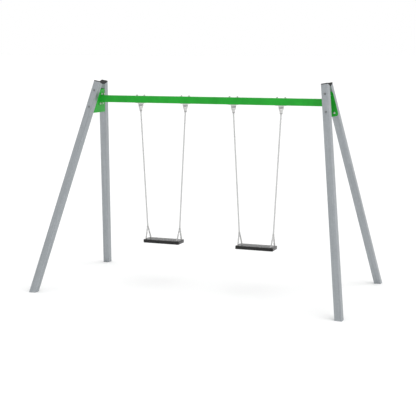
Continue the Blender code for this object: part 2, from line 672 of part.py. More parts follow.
galvanised = material("galvanised_steel", (0.36, 0.38, 0.39), 0.45, 0.85)
green_paint = material("green_paint", (0.03, 0.36, 0.04), 0.35, 0.0)
zinc_steel = material("zinc_plated_steel", (0.50, 0.51, 0.52), 0.35, 1.0)
chain_steel = material("galvanised_chain", (0.62, 0.63, 0.64), 0.35, 1.0)
cap_plastic = material("black_plastic", (0.03, 0.03, 0.03), 0.5, 0.0)
seat_rubber = material("black_rubber", (0.03, 0.03, 0.032), 0.8, 0.0)

leg_bolt = bolt_mesh("leg_bolt", TUBE + GAP + BRACKET_PLATE)
beam_bolt = bolt_mesh("beam_bolt", END_PLATE[0] + GAP + BRACKET_PLATE)
hanger_bolt = bolt_mesh("hanger_bolt", HANGER_PLATE[2] + GAP + TUBE, head=None)
pin_bolt = bolt_mesh("hanger_pin", 2 * CHEEK_TOP_X, PIN_HEAD, PIN_NUT, PIN_TAIL, washer=0)

# each A-frame stands in its own upright frame, which leans about Y at the feet
lean_in = Matrix.Translation((FOOT_X, 0, 0)) @ Matrix.Rotation(-LEAN, 4, "Y")
half_turn = Matrix.Rotation(pi, 4, "Z")
frames = [make_a_frame("right", lean_in), make_a_frame("left", half_turn @ lean_in)]

make_beam()
make_swing("left", -SWING_X)
make_swing("right", SWING_X)
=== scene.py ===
"""Looks for a two-seat swing set: linked chains, moulded rubber seats, fastenings and finishes."""

import json
from math import ceil, cos, pi, radians, sin, sqrt, tan

import bmesh
import bpy
from mathutils import Matrix, Vector


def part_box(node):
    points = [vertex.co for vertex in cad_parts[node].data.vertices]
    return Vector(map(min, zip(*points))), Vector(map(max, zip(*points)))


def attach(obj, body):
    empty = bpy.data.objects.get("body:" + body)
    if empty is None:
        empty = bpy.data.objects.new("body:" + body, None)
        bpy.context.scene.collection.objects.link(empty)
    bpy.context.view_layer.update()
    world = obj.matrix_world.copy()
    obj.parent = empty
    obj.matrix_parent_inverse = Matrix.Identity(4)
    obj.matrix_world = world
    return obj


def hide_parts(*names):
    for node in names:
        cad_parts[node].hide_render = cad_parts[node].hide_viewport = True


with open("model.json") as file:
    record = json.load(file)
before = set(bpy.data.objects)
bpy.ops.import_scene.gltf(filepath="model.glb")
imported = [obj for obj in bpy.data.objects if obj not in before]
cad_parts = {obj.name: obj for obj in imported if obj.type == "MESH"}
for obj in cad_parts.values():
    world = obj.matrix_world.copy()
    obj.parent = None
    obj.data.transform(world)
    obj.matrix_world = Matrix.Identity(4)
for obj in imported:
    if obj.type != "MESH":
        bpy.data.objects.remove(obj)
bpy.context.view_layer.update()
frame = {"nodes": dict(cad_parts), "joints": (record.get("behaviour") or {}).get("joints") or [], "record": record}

# ---- sizes in metres and angles in radians -----------------------------------------------------
GAP = 0.0003                  # between separate pieces
TUBE = 0.080                  # legs and beam, square
LEAN = radians(10)            # of each A-frame, towards the middle
SPLAY = radians(20)           # of each leg from its A-frame's centreline
WEB_FACE = 0.040              # bracket web's inner face, from the A-frame's plane
LEG_BOLTS = (2.263, 2.470)    # up the leg
LEG_LENGTH = 2.592            # to the top of the cap
CAP_RIM = 0.011
CAP_EASE = 0.001
CAP_DISH = ((0.0085, 0), (0.0095, 0.0008))  # inset and depth of the shallow dish in a cap's top
TUBE_CORNER = 0.005
BEAM_CORNER = 0.003
BRACKET_SPAN = (2.070, 2.350)  # heights up the A-frame
BRACKET_CORNER = 0.028
BRACKET_BEND = 0.009          # outer radius between the web and a flange
BRACKET_PLATE = 0.006
BRACKET_STEPS = 10            # along a flange's round corner
BEND_STEPS = 5                # along the bracket's bend
END_PLATE = (0.008, 0.100, 0.150)
END_PLATE_CORNER = 0.004
PLATE_OUTER = -WEB_FACE - GAP  # the end plate's faces, from the A-frame's plane
PLATE_INNER = -WEB_FACE - GAP - END_PLATE[0]
END_BOLT_Y = 0.030
END_BOLT_Z = 0.057

SHANK = 0.006                 # bolt radius
HEX = 0.018                   # across the flats
HEAD = 0.0075
NUT = 0.010
TAIL = 0.003
THREAD = 0.00175              # pitch
WASHER = 0.012                # radius
WASHER_THICK = 0.0025
WASHER_EASE = 0.0003

HANGER_BOLT = 0.0475          # each side of the swing's bearing
HANGER_PLATE = (0.124, 0.050, 0.003)
HANGER_SPACER = (0.057, 0.040, 0.014)
PLATE_CORNER = 0.005
SPACER_CORNER = 0.002
HOUSING_LENGTH = 0.037
HOUSING_RADIUS = 0.0115
PIN_BORE = SHANK + GAP
CUP_RADIUS = 0.0105           # low round heads of the bolts under the beam
CUP_HEIGHT = 0.0035
PIN_HEAD = 0.004
PIN_NUT = 0.005
PIN_TAIL = 0.001
CHEEK_TOP_X = 0.025           # outer faces of the stirrup, at the bearing
CHEEK_LOW_X = 0.013           # and at the rivet
CHEEK_THICK = 0.006
CHEEK_WIDE = 0.0108           # half width at the bearing
CHEEK_NARROW = 0.0098         # and at the rivet
CHEEK_CROWN = 0.0106          # above the bearing's centre
CHEEK_WEB = 0.006             # thickness of the web between the cheeks
WEB_BELOW_PIN = 0.0145
WEB_ABOVE_RIVET = 0.014
CHEEK_BENDS = (0.017, 0.054)  # below it
RIVET_DROP = 0.061            # below it
RIVET = 0.004
RIVET_HEAD = 0.0072           # radius of its head
RIVET_DOME = 0.0036           # height of its head

WELD_STEP = 0.0011            # between a weld bead's ripples
MOUNT_BEAD = 0.0018
WEB_BEAD = 0.0014
BEAM_BEAD = 0.0026

WIRE = 0.003                  # chain wire's radius
LINK_BEND = 0.007             # radius of a link's ends, to the wire's centre
LINK_PITCH = 0.0185
LINK_STEPS = 9                # along each of a link's round ends
LINK_SIDES = 10
RING = 0.014                  # ring where a chain divides, to the wire's centre
HANGER_HALF = 0.284           # chains' half spacing at the rivets
APEX_HALF = 0.208             # and where they divide
LUG_X = 0.200
LUG_Y = 0.066
LUG_RISE = 0.010              # eye above the seat's top
LUG_EYE = 0.0045

SEAT_CORNER = 0.012
SEAT_EDGE = 0.006
SEAT_STEPS = 6                # along the seat's rounded edge
PARTING = ((0, -0.0012), (0.0008, -0.0004), (0.0008, 0.0004), (0, 0.0012))  # inset, height
RIB = 0.0022                  # radius of a rib, and of the collar round a lug
RIB_SUNK = 0.84               # share of it below the seat's top
RIB_ROWS = 13
RIB_SHORT = 0.030             # from a rib's end to the lugs
RIB_MARGIN = 0.012            # from the outer ribs to the eased edge
COLLAR = (0.0062, 0.0142, 0.0060)  # half sizes and corner radius

record = frame["record"]
places = {mount["name"]: Vector(mount["pos_m"]) for mount in record["mounts"]}
pivots = {joint["name"]: Vector(joint["pos_m"]) for joint in frame["joints"]}
foot = places["foot_front_right"]
SIDES = (("left", -1), ("right", 1))


# ---- camera, light and floor -------------------------------------------------------------------
CAMERA_PLACE = (4.400, -11.382, 2.774)
CAMERA_DOWN = radians(8.52)   # below level
CAMERA_TURN = radians(21.20)  # to the left of +Y
CAMERA_LENS = 91.48           # millimetres
CAMERA_FRAME = 36             # sensor width, millimetres
CAMERA_REACH = 2000
SKY = 1.0
SKY_LOW = 0.22                # share of the way up at which the horizon's white ends
SKY_BAND = ((0.34, 0.74), (0.62, 0.78), (0.80, 1.06))  # share of the way up, brightness
SKY_TOP = 1.1
FLOOR = 400                   # half size


def add_camera():
    """A three-quarter view from the front right."""
    lens = bpy.data.cameras.new("camera")
    lens.sensor_width = CAMERA_FRAME
    lens.lens = CAMERA_LENS
    lens.clip_end = CAMERA_REACH
    camera = bpy.data.objects.new("camera", lens)
    camera.location = CAMERA_PLACE
    camera.rotation_euler = (pi / 2 - CAMERA_DOWN, 0, CAMERA_TURN)
    bpy.context.scene.collection.objects.link(camera)
    bpy.context.scene.camera = camera


def add_sun(name, strength, softness, azimuth, elevation):
    """A soft far light; azimuth 0 shines from the front (-Y) and 90 from the right (+X)."""
    light = bpy.data.lights.new(name, "SUN")
    light.energy = strength
    light.angle = radians(softness)
    lamp = bpy.data.objects.new(name, light)
    lamp.rotation_euler = (radians(90 - elevation), 0, radians(azimuth))
    bpy.context.scene.collection.objects.link(lamp)


def add_sky():
    """White round the horizon, a greyer band above it and a bright top, like a softbox room."""
    world = bpy.data.worlds.new("studio")
    bpy.context.scene.world = world
    world.use_nodes = True
    tree = world.node_tree
    place = tree.nodes.new("ShaderNodeTexCoord")
    split = tree.nodes.new("ShaderNodeSeparateXYZ")
    tree.links.new(place.outputs["Generated"], split.inputs[0])
    ramp = tree.nodes.new("ShaderNodeValToRGB")
    tree.links.new(split.outputs["Z"], ramp.inputs[0])
    stops = ramp.color_ramp.elements
    stops[0].position, stops[0].color = SKY_LOW, (1, 1, 1, 1)
    stops[1].position, stops[1].color = 1.0, (SKY_TOP, SKY_TOP, SKY_TOP, 1)
    for position, value in SKY_BAND:
        stops.new(position).color = (value, value, value, 1)
    background = tree.nodes["Background"]
    tree.links.new(ramp.outputs[0], background.inputs["Color"])
    background.inputs["Strength"].default_value = SKY


def add_floor():
    bm = bmesh.new()
    bmesh.ops.create_grid(bm, x_segments=8, y_segments=8, size=FLOOR)
    mesh = bpy.data.meshes.new("floor")
    bm.to_mesh(mesh)
    bm.free()
    floor = bpy.data.objects.new("floor", mesh)
    floor.location.z = -GAP
    bpy.context.scene.collection.objects.link(floor)
    paper = bpy.data.materials.new("studio_floor")
    paper.use_nodes = True
    shader = paper.node_tree.nodes["Principled BSDF"]
    shader.inputs["Base Color"].default_value = (0.93, 0.93, 0.93, 1)
    shader.inputs["Roughness"].default_value = 0.9
    shader.inputs["Specular IOR Level"].default_value = 0.1
    mesh.materials.append(paper)


bpy.context.scene.view_settings.view_transform = "Standard"
add_camera()
add_sky()
add_sun("key", strength=1.0, softness=75, azimuth=80, elevation=42)
add_sun("fill", strength=0.16, softness=70, azimuth=-25, elevation=35)
add_floor()


# ---- material helpers --------------------------------------------------------------------------
class Look:
    """A Principled material and the short calls that build its nodes in object coordinates."""

    def __init__(self, name, metallic, roughness, **sockets):
        self.material = bpy.data.materials.new(name)
        self.material.use_nodes = True
        self.tree = self.material.node_tree
        self.shader = self.tree.nodes["Principled BSDF"]
        self.shader.inputs["Metallic"].default_value = metallic
        self.shader.inputs["Roughness"].default_value = roughness
        for socket, value in sockets.items():
            self.shader.inputs[socket.replace("_", " ")].default_value = value
        self.place = self.tree.nodes.new("ShaderNodeTexCoord").outputs["Object"]
        self.height = None

    def node(self, kind, links, **values):
        made = self.tree.nodes.new(kind)
        for key, value in values.items():
            setattr(made, key, value)
        for socket, source in links.items():
            if hasattr(source, "is_output"):
                self.tree.links.new(source, made.inputs[socket])
            else:
                made.inputs[socket].default_value = source
        return made

    def stretched(self, scale, turn=(0, 0, 0)):
        """Object coordinates, turned and stretched."""
        links = {"Vector": self.place, "Scale": scale, "Rotation": turn}
        return self.node("ShaderNodeMapping", links).outputs[0]

    def noise(self, scale, detail=3, rough=0.5, place=None):
        links = {"Vector": place or self.place, "Scale": scale, "Detail": detail,
                 "Roughness": rough}
        return self.node("ShaderNodeTexNoise", links).outputs["Fac"]

    def cells(self, scale, output="Color"):
        links = {"Vector": self.place, "Scale": scale}
        return self.node("ShaderNodeTexVoronoi", links).outputs[output]

    def remap(self, source, low, high, to_low, to_high):
        links = {"Value": source, "From Min": low, "From Max": high,
                 "To Min": to_low, "To Max": to_high}
        return self.node("ShaderNodeMapRange", links).outputs["Result"]

    def math(self, operation, first, second):
        return self.node("ShaderNodeMath", {0: first, 1: second}, operation=operation).outputs[0]

    def blend(self, factor, first, second):
        made = self.node("ShaderNodeMix", {}, data_type="RGBA")
        into = (made.inputs[0], made.inputs[6], made.inputs[7])
        for socket, source in zip(into, (factor, first, second)):
            if hasattr(source, "is_output"):
                self.tree.links.new(source, socket)
            elif isinstance(source, tuple):
                socket.default_value = (*source, 1)
            else:
                socket.default_value = source
        return made.outputs[2]

    def colour(self, source):
        self.tree.links.new(source, self.shader.inputs["Base Color"])

    def roughness(self, source):
        self.tree.links.new(source, self.shader.inputs["Roughness"])

    def bump(self, source, strength, distance):
        """Adds a height to those already there; distance is in metres."""
        links = {"Height": source, "Strength": strength, "Distance": distance}
        if self.height:
            links["Normal"] = self.height
        self.height = self.node("ShaderNodeBump", links).outputs[0]
        self.tree.links.new(self.height, self.shader.inputs["Normal"])


def grey(value, tint=(1, 1, 1)):
    return tuple(value * part for part in tint)


# ---- materials ---------------------------------------------------------------------------------
def galvanised(name, turn=(0, 0, 0)):
    """Hot-dip zinc: centimetre-wide crystals and faint runs along a tube that turn stands up."""
    look = Look(name, 0.70, 0.45)
    look.place = look.stretched((1, 1, 1), turn)
    crystals = look.cells(85)
    runs = look.noise(1.0, 4, 0.6, look.stretched((150, 150, 2.2)))
    patches = look.noise(7, 5, 0.6)
    tone = look.math("ADD", look.math("MULTIPLY", crystals, 0.45),
                     look.math("MULTIPLY", patches, 0.55))
    base = look.blend(tone, LEG_DARK, LEG_LIGHT)
    streak = look.remap(runs, 0.40, 0.72, 0, 0.55)
    base = look.blend(streak, base, LEG_RUN)
    bands = look.noise(1.0, 2, 0.5, look.stretched((75, 75, 1.1)))
    base = look.blend(look.remap(bands, 0.50, 0.64, 0, 0.30), base, LEG_BAND)
    stains = look.noise(1.0, 4, 0.6, look.stretched((26, 26, 11)))
    look.colour(look.blend(look.remap(stains, 0.56, 0.72, 0, 0.30), base, LEG_STAIN))
    look.roughness(look.remap(tone, 0, 1, 0.36, 0.56))
    look.bump(crystals, 0.10, 0.0004)
    look.bump(runs, 0.10, 0.0004)
    look.bump(look.noise(420, 3, 0.6), 0.10, 0.0003)
    return look.material


def powder_coat():
    """Green powder coating with fine orange peel."""
    look = Look("green_powder_coat", 0.0, 0.38, Specular_IOR_Level=0.22)
    drift = look.remap(look.noise(6, 5, 0.6), 0.32, 0.68, 0, 1)
    base = look.blend(drift, PAINT_DARK, PAINT_LIGHT)
    specks = look.remap(look.noise(700, 2, 0.5), 0.58, 0.74, 0, 0.5)
    dust = look.remap(look.noise(38, 6, 0.7), 0.52, 0.80, 0, 0.30)
    base = look.blend(dust, base, PAINT_DUST)
    look.colour(look.blend(specks, base, PAINT_SPECK))
    look.roughness(look.remap(look.noise(60, 3, 0.5), 0.3, 0.7, 0.32, 0.52))
    look.bump(look.noise(260, 2, 0.4), 0.30, 0.0006)
    return look.material


def zinc(name, dark, light, low, high, scale, end_shade=None):
    """Zinc plating with a cloudy finish; low and high bound its roughness, scale sizes its clouds.

    The last argument, if given, is the colour of a bolt's outer end: painted shade, darker than the rest.
    """
    look = Look(name, 0.85, 0.35)
    cloud = look.noise(scale, 4, 0.6)
    base = look.blend(look.remap(cloud, 0.3, 0.7, 0, 1), dark, light)
    if end_shade:
        # painted shade: the bolt's outer end is darkened, fading out along its own Z
        along = look.node("ShaderNodeSeparateXYZ", {"Vector": look.place}).outputs["Z"]
        base = look.blend(look.remap(along, 0.02, 0.05, 1, 0), base, end_shade)
    look.colour(base)
    look.roughness(look.remap(cloud, 0.3, 0.7, low, high))
    look.bump(look.noise(scale * 9, 3, 0.7), 0.06, 0.0001)
    return look.material


def plastic():
    """Moulded black plastic with a fine spark-eroded grain."""
    look = Look("black_plastic", 0.0, 0.6, Specular_IOR_Level=0.2)
    cloud = look.noise(30, 3, 0.5)
    look.colour(look.blend(cloud, grey(0.014), grey(0.028)))
    look.roughness(look.remap(cloud, 0.3, 0.7, 0.55, 0.70))
    look.bump(look.noise(1100, 2, 0.5), 0.25, 0.0003)
    return look.material


def rubber():
    """Moulded rubber: leathery grain with a dusty bloom, and a satin skin."""
    look = Look("black_rubber", 0.0, 0.35, Specular_IOR_Level=0.5, IOR=1.38,
                Sheen_Weight=0.35, Sheen_Roughness=0.30)
    bloom = look.remap(look.noise(14, 6, 0.65), 0.35, 0.75, 0, 1)
    speck = look.remap(look.noise(700, 3, 0.6), 0.55, 0.80, 0, 1)
    base = look.blend(bloom, RUBBER_DARK, RUBBER_LIGHT)
    look.colour(look.blend(look.math("MULTIPLY", speck, 0.3), base, RUBBER_DUST))
    look.roughness(look.remap(bloom, 0, 1, 0.22, 0.34))
    look.bump(look.cells(380, "Distance"), 0.07, 0.0003)
    look.bump(look.noise(900, 3, 0.6), 0.05, 0.0002)
    return look.material


BLUISH = (0.94, 1.0, 1.05)
BLUER = (0.93, 1.0, 1.05)
COOL = (0.97, 1.0, 1.02)
LEG_DARK = grey(0.27, BLUER)
LEG_LIGHT = grey(0.40, BLUISH)
LEG_RUN = grey(0.43, BLUISH)
LEG_BAND = grey(0.24, BLUER)
LEG_STAIN = grey(0.47, (0.95, 1.0, 1.04))
PAINT_DARK = (0.008, 0.285, 0.018)
PAINT_LIGHT = (0.012, 0.355, 0.024)
PAINT_SPECK = (0.02, 0.42, 0.03)
PAINT_DUST = (0.03, 0.36, 0.045)
RUBBER_DARK = grey(0.005)
RUBBER_LIGHT = grey(0.010)
RUBBER_DUST = grey(0.045)

looks = {
    "galvanised_steel": galvanised("galvanised"),
    "green_paint": powder_coat(),
    "zinc_steel": zinc("zinc_plate", grey(0.46, (1.0, 0.99, 0.95)), grey(0.66, (1.0, 1.0, 0.98)),
                       low=0.26, high=0.44, scale=90),
    # painted shade: a dark, rough zinc for the rivet at the stirrup's shaded lower end
    "painted_shade_zinc": zinc("painted_shade_zinc", grey(0.17, COOL), grey(0.30, COOL),
                      low=0.40, high=0.56, scale=90),
    # the leg bolts' outer ends get painted shade, a darker zinc
    "leg_bolt": zinc("bolt_zinc", grey(0.50), grey(0.70),
                     low=0.30, high=0.46, scale=90, end_shade=grey(0.22, COOL)),
    "hanger": zinc("hanger_zinc", grey(0.52, (1.0, 0.99, 0.97)), grey(0.70, (1.0, 1.0, 0.99)),
                   low=0.32, high=0.48, scale=70),
    # painted shade: the housing's zinc is darker than the hanger's, for the shade under the spacer
    "housing": zinc("housing_zinc_shade", grey(0.28), grey(0.44), low=0.36, high=0.50, scale=70),
    "chain_steel": zinc("chain_zinc", grey(0.42), grey(0.55), low=0.24, high=0.36, scale=60),
    "cap_plastic": plastic(),
    "rubber": rubber(),
}


# ---- mesh helpers ------------------------------------------------------------------------------
def loft(bm, rings, closed=False, caps=True):
    """Skin over rings with the same number of points; closed joins the last to the first."""
    rows = [[bm.verts.new(point) for point in ring] for ring in rings]
    pairs = list(zip(rows, rows[1:]))
    if closed:
        pairs.append((rows[-1], rows[0]))
    for low, high in pairs:
        for i in range(len(low)):
            j = (i + 1) % len(low)
            bm.faces.new((low[i], low[j], high[j], high[i]))
    if caps and not closed:
        bm.faces.new(reversed(rows[0]))
        bm.faces.new(rows[-1])


def sweep(bm, path, radius, sides=8, closed=False, swell=None):
    """A round bar along a path; swell gives its radius at each point as a share of radius."""
    count = len(path)
    side = None
    rings = []
    for i, point in enumerate(path):
        before = path[i - 1] if closed or i else point
        after = path[(i + 1) % count] if closed or i < count - 1 else point
        along = (after - before).normalized()
        side = along.orthogonal() if side is None else side - along * side.dot(along)
        side.normalize()
        up = along.cross(side)
        size = radius * (swell[i] if swell else 1)
        turns = [2 * pi * k / sides for k in range(sides)]
        rings.append([point + size * (cos(a) * side + sin(a) * up) for a in turns])
    loft(bm, rings, closed)


def turned(bm, profile, sides=24):
    """A solid of revolution about Z, from (radius, height) pairs going up."""
    turns = [2 * pi * k / sides for k in range(sides)]
    loft(bm, [[Vector((r * cos(a), r * sin(a), z)) for a in turns] for r, z in profile])


def stamp(bm, mesh, matrix):
    """Adds a copy of a mesh."""
    first = len(bm.verts)
    bm.from_mesh(mesh)
    bm.verts.ensure_lookup_table()
    bmesh.ops.transform(bm, matrix=matrix, verts=bm.verts[first:])


def finish_mesh(name, bm, sharp=35):
    """A mesh from bm, smooth but for edges sharper than an angle in degrees."""
    bmesh.ops.recalc_face_normals(bm, faces=bm.faces)
    mesh = bpy.data.meshes.new(name)
    bm.to_mesh(mesh)
    bm.free()
    mesh.shade_smooth()
    mesh.set_sharp_from_angle(angle=radians(sharp))
    return mesh


def add_piece(name, mesh, slot, body, *nodes, soften=0, look=None, matrix=None):
    """Puts a piece on a body in place of the CAD nodes that it stands for."""
    piece = bpy.data.objects.new(name, mesh)
    bpy.context.scene.collection.objects.link(piece)
    if matrix:
        piece.matrix_world = matrix
    mesh.materials.append(looks[look or slot])
    if soften:
        rounding = piece.modifiers.new("edges", "BEVEL")
        rounding.width = soften
        rounding.segments = 2
        rounding.angle_limit = radians(35)
        rounding.harden_normals = True
    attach(piece, body)
    if nodes:
        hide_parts(*nodes)


def rounded_box(half_x, half_y, radius, steps=6):
    """A rectangle with round corners, anticlockwise, in the XY plane."""
    points = []
    for quarter, (x, y) in enumerate(((1, 1), (-1, 1), (-1, -1), (1, -1))):
        for step in range(steps + 1):
            a = pi / 2 * (quarter + step / steps)
            points.append(Vector((x * (half_x - radius) + radius * cos(a),
                                  y * (half_y - radius) + radius * sin(a), 0)))
    return points


def prism(bm, outline, low, high):
    """A solid between two heights over an outline."""
    lift = Vector((0, 0, 1))
    loft(bm, [[point + lift * height for point in outline] for height in (low, high)])


def weld(bm, corners, radius, closed=False):
    """A rippled weld bead along straight runs between corners."""
    path = []
    runs = list(zip(corners, corners[1:]))
    if closed:
        runs.append((corners[-1], corners[0]))
    for start, end in runs:
        count = max(1, ceil((end - start).length / WELD_STEP))
        path += [start.lerp(end, k / count) for k in range(count)]
    if not closed:
        path.append(corners[-1])
    swell = [1 + 0.13 * sin(i * 2.1) + 0.07 * sin(i * 0.37 + 1) for i in range(len(path))]
    if not closed:
        swell[0] = swell[-1] = 0.5
    sweep(bm, path, radius, 8, closed, swell)


# ---- fastenings --------------------------------------------------------------------------------
def hexagon(bm, low, high, chamfer_low, chamfer_high, sides=48):
    """A hexagon head or nut along Z whose corners are turned to a cone at each chamfered end."""
    flat = HEX / 2
    land = flat * 0.96
    slope = tan(radians(28))
    turns = [2 * pi * k / sides for k in range(sides)]

    def reach(angle):
        return flat / cos((angle + pi / 6) % (pi / 3) - pi / 6)

    def level(z, into, angle, chamfered):
        return z + into * (reach(angle) - land) * slope if chamfered else z

    def ring(radius_at, height_at):
        return [Vector((radius_at(a) * cos(a), radius_at(a) * sin(a), height_at(a))) for a in turns]

    rings = [ring(lambda a: land, lambda a: low),
             ring(reach, lambda a: level(low, 1, a, chamfer_low)),
             ring(reach, lambda a: level(high, -1, a, chamfer_high)),
             ring(lambda a: land, lambda a: high)]
    loft(bm, rings)


def washer(bm, low, high):
    inner = WASHER - WASHER_EASE
    rim = [(WASHER, low + WASHER_EASE), (WASHER, high - WASHER_EASE)]
    turned(bm, [(inner, low), *rim, (inner, high)], 32)


def cup_head(bm, low, high):
    """A low domed head, widest at its seat."""
    steps = 6
    profile = []
    for k in range(steps + 1):
        a = pi / 2 * k / steps
        height = high - (high - low) * (0.2 + 0.8 * cos(a))
        profile.append((max(0.0003, CUP_RADIUS * sin(a)), height))
    profile.append((CUP_RADIUS, high))
    turned(bm, profile, 32)


def bolt_mesh(name, grip, head=HEAD, nut=NUT, tail=TAIL, washers=True):
    """A bolt and nut along +Z through a stack from 0 to grip; a head of None is a low dome."""
    bm = bmesh.new()
    gap = GAP + (WASHER_THICK if washers else 0)
    nut_seat = grip + gap
    nut_end = nut_seat + nut
    if head is None:
        gap = GAP
        cup_head(bm, -gap - CUP_HEIGHT, -gap)
    else:
        hexagon(bm, -gap - head, -gap, True, False)
    hexagon(bm, nut_seat, nut_end, True, True)
    if washers:
        washer(bm, grip + GAP, nut_seat)
        if head is not None:
            washer(bm, -gap, -GAP)
    root = SHANK - THREAD / 3
    profile = [(SHANK, -gap - GAP), (SHANK, nut_end - nut / 2), (root, nut_end)]
    height = nut_end
    while height + THREAD < nut_end + tail:
        profile += [(SHANK, height + THREAD / 2), (root, height + THREAD)]
        height += THREAD
    profile.append((root - 0.0006, nut_end + tail))
    turned(bm, profile, 20)
    return finish_mesh(name, bm, 24)


# ---- chains ------------------------------------------------------------------------------------
def link_mesh(pitch):
    """One link along Z and flat in X, with the swollen butt weld on one side."""
    straight = (pitch + 2 * WIRE) / 2 - LINK_BEND
    path = []
    swell = []
    for end in (1, -1):
        for step in range(LINK_STEPS + 1):
            a = pi * step / LINK_STEPS + (0 if end > 0 else pi)
            path.append(Vector((LINK_BEND * cos(a), 0, end * straight + LINK_BEND * sin(a))))
            swell.append(1)
        if end > 0:
            for z, size in ((0.35, 1), (0.12, 1.12), (-0.12, 1.12), (-0.35, 1)):
                path.append(Vector((-LINK_BEND, 0, z * straight)))
                swell.append(size)
    bm = bmesh.new()
    sweep(bm, path, WIRE, LINK_SIDES, True, swell)
    return finish_mesh("link", bm, 180)


def add_chain(bm, top, low, count, turn, start=0.0):
    """Links from one wire's centre to another's; each link is turned from the one above."""
    run = low - top
    pitch = (run.length - 2 * WIRE) / count
    link = link_mesh(pitch)
    along = run.normalized()
    across = Vector((1, 0, 0))
    across = (across - along * across.dot(along)).normalized()
    basis = Matrix((across, along.cross(across) * -1, along * -1)).transposed().to_4x4()
    for i in range(count):
        centre = top + along * (pitch / 2 + WIRE + i * pitch)
        matrix = Matrix.Translation(centre) @ basis @ Matrix.Rotation(start + i * turn, 4, "Z")
        stamp(bm, link, matrix)
    bpy.data.meshes.remove(link)


def add_ring(bm, centre):
    """The ring that joins a chain to its two short ones; it stands in the plane they swing in."""
    steps = 36
    turns = [2 * pi * k / steps for k in range(steps)]
    path = [centre + RING * Vector((0, cos(a), sin(a))) for a in turns]
    sweep(bm, path, WIRE, 12, True)


def hang_chains(side, end_name, end):
    """A main chain from its rivet to the ring, and the two short chains down to the seat."""
    pin = pivots[f"swing_{side}_pivot"]
    apex = pivots[f"seat_{side}_tilt"] + Vector((end * APEX_HALF, 0, 0))
    rivet = pin + Vector((end * HANGER_HALF, 0, -RIVET_DROP))
    label = f"{side}_{end_name}"
    down = (apex - rivet).normalized()
    hook = RING - 2 * WIRE

    bm = bmesh.new()
    top = rivet - down * (RIVET + WIRE)
    low = apex - down * hook
    count = round((low - top).length / LINK_PITCH)
    add_chain(bm, top, low, count, pi / 2, pi / 2)
    add_piece(f"chain_links_{label}", finish_mesh("chain", bm, 180), "chain_steel",
              "swing_" + side, "chain_" + label)

    bm = bmesh.new()
    add_ring(bm, apex)
    seat_top = places["seat_top_" + side]
    for way in (-1, 1):
        eye = seat_top + Vector((end * LUG_X, way * LUG_Y, LUG_RISE))
        slope = (eye - apex).normalized()
        top = apex + slope * hook
        low = eye - slope * (LUG_EYE - WIRE)
        count = round((low - top).length / LINK_PITCH)
        # the last link must lie across the lug as the first lies across the ring
        turn = pi * round((count - 1) / 2 + 0.01) / (count - 1)
        add_chain(bm, top, low, count, turn)
    add_piece(f"seat_links_{label}", finish_mesh("chain", bm, 180), "chain_steel",
              "seat_" + side, "seat_chain_" + label)


# ---- hangers -----------------------------------------------------------------------------------
def cheek_x(height):
    """Distance of a cheek's middle from the hanger's centre, at a height from the pin."""
    first, second = CHEEK_BENDS
    share = min(1, max(0, (-height - first) / (second - first)))
    share = 0.5 * share + 0.5 * share * share * (3 - 2 * share)
    return CHEEK_TOP_X - CHEEK_THICK / 2 + (CHEEK_LOW_X - CHEEK_TOP_X) * share


def cheek(bm, x_sign):
    """One side of a stirrup, bent in from the pin to the rivet."""
    steps = 8
    stations = []
    for k in range(steps + 1):
        a = pi / 2 * (1 - k / steps)
        stations.append((CHEEK_CROWN * sin(a), CHEEK_WIDE * cos(a)))
    spans = 16
    for k in range(1, spans):
        share = k / spans
        stations.append((-RIVET_DROP * share, CHEEK_WIDE + (CHEEK_NARROW - CHEEK_WIDE) * share))
    for k in range(steps + 1):
        a = pi / 2 * k / steps
        stations.append((-RIVET_DROP - CHEEK_NARROW * sin(a), CHEEK_NARROW * cos(a)))

    rings = []
    for height, half in stations:
        half = max(half, 0.0004)
        low_x = x_sign * cheek_x(height) - CHEEK_THICK / 2
        high_x = x_sign * cheek_x(height) + CHEEK_THICK / 2
        rings.append([Vector((low_x, -half, height)), Vector((high_x, -half, height)),
                      Vector((high_x, half, height)), Vector((low_x, half, height))])
    loft(bm, rings)


def web(bm):
    """The plate between a stirrup's cheeks, with its welds."""
    steps = 8
    top, low = -WEB_BELOW_PIN, WEB_ABOVE_RIVET - RIVET_DROP
    half = CHEEK_WEB / 2
    heights = [top + (low - top) * k / steps for k in range(steps + 1)]
    loft(bm, [[Vector((-cheek_x(z), -half, z)), Vector((cheek_x(z), -half, z)),
               Vector((cheek_x(z), half, z)), Vector((-cheek_x(z), half, z))] for z in heights])
    for x_sign in (-1, 1):
        for y_sign in (-1, 1):
            seam = [Vector((x_sign * (cheek_x(z) - CHEEK_THICK / 2), y_sign * half, z))
                    for z in heights]
            weld(bm, seam, WEB_BEAD)


def rivet_mesh():
    """The rivet across a stirrup's lower end, with a domed head on each side."""
    rod = bmesh.new()
    half = CHEEK_LOW_X
    sunk = 0.0002
    steps = 5
    profile = []
    for k in range(steps + 1):
        a = pi / 2 * k / steps
        profile.append((max(0.0002, RIVET_HEAD * sin(a)), -half - RIVET_DOME * cos(a)))
    profile += [(RIVET_HEAD, -half + sunk), (RIVET, -half + sunk)]
    profile += [(r, -z) for r, z in reversed(profile)]
    turned(rod, profile, 20)
    return finish_mesh("rivet", rod)


def weld_pair(bm, x, half_x, half_y, height):
    """A weld along each long side of a block whose middle is at x."""
    reach = half_x - MOUNT_BEAD
    for y in (-half_y, half_y):
        weld(bm, [Vector((x - reach, y, height)), Vector((x + reach, y, height))], MOUNT_BEAD)


